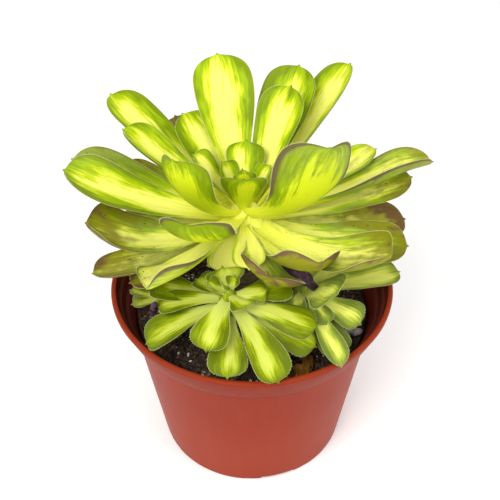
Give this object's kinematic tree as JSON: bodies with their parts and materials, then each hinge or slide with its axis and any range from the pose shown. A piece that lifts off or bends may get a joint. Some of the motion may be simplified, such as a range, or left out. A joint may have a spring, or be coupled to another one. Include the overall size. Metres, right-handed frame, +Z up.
{
  "type": "potted tree aeonium",
  "caption": "Variegated tree aeonium: a large open rosette of spoon-shaped succulent leaves with small offset rosettes, growing in a round tapered nursery pot.",
  "frame": {"origin": "centre of the pot's underside", "axes": "+Z up along the pot's axis, -Y towards the front of the plant, +X to its right"},
  "size_m": [0.1842, 0.1558, 0.2165],
  "materials": {
    "terracotta_plastic": "satin moulded plastic, terracotta orange-red",
    "potting_mix": "dark crumbly peat mix with white grains",
    "bark": "dull ringed brown-green bark",
    "leaf": "satin fleshy leaf, yellow middle, green margin, pale toothed edge",
    "dry_tan": "dry curled leaf, tan",
    "withered_purple": "dry wrinkled leaf, dark purple-brown"
  },
  "bodies": {
    "root": {"pot": "terracotta_plastic", "soil": "potting_mix", "main_stem": "bark", "front_stem": "bark", "side_stem": "bark", "back_stem": "bark", "main_rosette": "leaf", "front_rosette": "leaf", "side_rosette": "leaf", "back_rosette": "leaf", "dry_leaf": "dry_tan", "withered_leaf": "withered_purple", "dried_stub": "withered_purple"}
  },
  "joints": []
}
